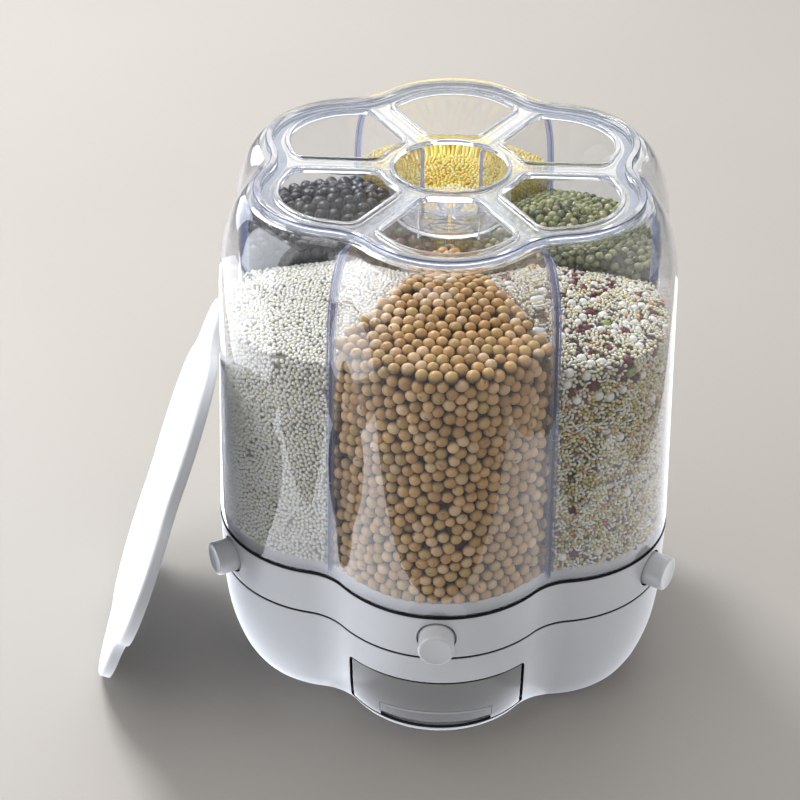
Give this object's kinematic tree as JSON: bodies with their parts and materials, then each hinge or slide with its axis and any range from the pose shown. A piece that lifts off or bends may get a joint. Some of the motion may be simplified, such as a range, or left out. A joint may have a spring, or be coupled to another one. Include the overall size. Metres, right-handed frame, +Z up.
{
  "type": "rotating grain dispenser",
  "caption": "Rotating grain dispenser: a lobed clear barrel with compartments on a push-button ring that turns on a base with a measuring drawer and a loose lid.",
  "frame": {"origin": "on the ground under the turning axis, at the centre of the middle foot's underside", "axes": "+Z up along the turning axis; -Y towards the front, where the drawer opens; +X to the right seen from the front"},
  "size_m": [0.3165, 0.2816, 0.28],
  "materials": {
    "white_shell": "satin injection moulded, cool white",
    "white_inner": "matte moulded, off white",
    "foot_rubber": "grey elastomer",
    "steel": "plated steel",
    "spring_steel": "drawn wire",
    "cage_plastic": "natural acetal",
    "smoke_clear": "smoky transparent plastic",
    "dark_gasket": "dark elastomer",
    "clear_barrel": "clear moulded plastic with a faint blue edge tint",
    "button_white": "satin",
    "lid_white": "satin, cool white",
    "seal_silicone": "translucent silicone"
  },
  "bodies": {
    "base": {"base_shell": "white_shell", "base_bottom_plate": "white_inner", "rubber_feet": "foot_rubber", "bottom_screws": "steel", "base_deck": "white_inner", "outlet_chute": "white_inner", "drawer_rail_left": "white_inner", "drawer_rail_right": "white_inner", "pivot_washer": "steel", "pivot_screw": "steel"},
    "bearing": {"ball_cage": "cage_plastic", "bearing_balls": "steel"},
    "drawer": {"drawer_tray": "smoke_clear"},
    "turret": {"turntable_plate": "white_inner", "button_ring": "white_shell", "hopper_floor": "white_inner", "turret_screws": "steel", "barrel_seal": "dark_gasket", "barrel_shell": "clear_barrel", "divider_insert": "clear_barrel", "top_deck": "clear_barrel", "return_spring_1": "spring_steel", "return_spring_2": "spring_steel", "return_spring_3": "spring_steel", "return_spring_4": "spring_steel", "return_spring_5": "spring_steel", "return_spring_6": "spring_steel"},
    "button_1_body": {"button_1": "button_white", "gate_slide_1": "white_inner"},
    "button_2_body": {"button_2": "button_white", "gate_slide_2": "white_inner"},
    "button_3_body": {"button_3": "button_white", "gate_slide_3": "white_inner"},
    "button_4_body": {"button_4": "button_white", "gate_slide_4": "white_inner"},
    "button_5_body": {"button_5": "button_white", "gate_slide_5": "white_inner"},
    "button_6_body": {"button_6": "button_white", "gate_slide_6": "white_inner"},
    "lid_body": {"lid": "lid_white", "lid_seal": "seal_silicone"}
  },
  "joints": [
    {"name": "turret_spin", "type": "hinge", "parent": "base", "child": "turret", "pos_m": [0, 0, 0.0624], "axis": [0, 0, 1], "continuous": true},
    {"name": "cage_spin", "type": "hinge", "parent": "base", "child": "bearing", "pos_m": [0, 0, 0.0594], "axis": [0, 0, 1], "continuous": true},
    {"name": "drawer_slide", "type": "slide", "parent": "base", "child": "drawer", "axis": [0, -1, 0], "range_m": [0, 0.085]},
    {"name": "lid_lift", "type": "slide", "parent": "turret", "child": "lid_body", "axis": [0, 0, 1], "range_m": [0, 0.3]},
    {"name": "button_1_press", "type": "slide", "parent": "turret", "child": "button_1_body", "axis": [0, 1, 0], "range_m": [0, 0.01], "stiffness_N_per_m": 300, "springref_m": -0.004, "deforming": ["return_spring_1"]},
    {"name": "button_2_press", "type": "slide", "parent": "turret", "child": "button_2_body", "axis": [-0.866, 0.5, 0], "range_m": [0, 0.01], "stiffness_N_per_m": 300, "springref_m": -0.004, "deforming": ["return_spring_2"]},
    {"name": "button_3_press", "type": "slide", "parent": "turret", "child": "button_3_body", "axis": [-0.866, -0.5, 0], "range_m": [0, 0.01], "stiffness_N_per_m": 300, "springref_m": -0.004, "deforming": ["return_spring_3"]},
    {"name": "button_4_press", "type": "slide", "parent": "turret", "child": "button_4_body", "axis": [0, -1, 0], "range_m": [0, 0.01], "stiffness_N_per_m": 300, "springref_m": -0.004, "deforming": ["return_spring_4"]},
    {"name": "button_5_press", "type": "slide", "parent": "turret", "child": "button_5_body", "axis": [0.866, -0.5, 0], "range_m": [0, 0.01], "stiffness_N_per_m": 300, "springref_m": -0.004, "deforming": ["return_spring_5"]},
    {"name": "button_6_press", "type": "slide", "parent": "turret", "child": "button_6_body", "axis": [0.866, 0.5, 0], "range_m": [0, 0.01], "stiffness_N_per_m": 300, "springref_m": -0.004, "deforming": ["return_spring_6"]}
  ],
  "couplings": [
    {"joint": "cage_spin", "follows": "turret_spin", "ratio": 0.5}
  ]
}
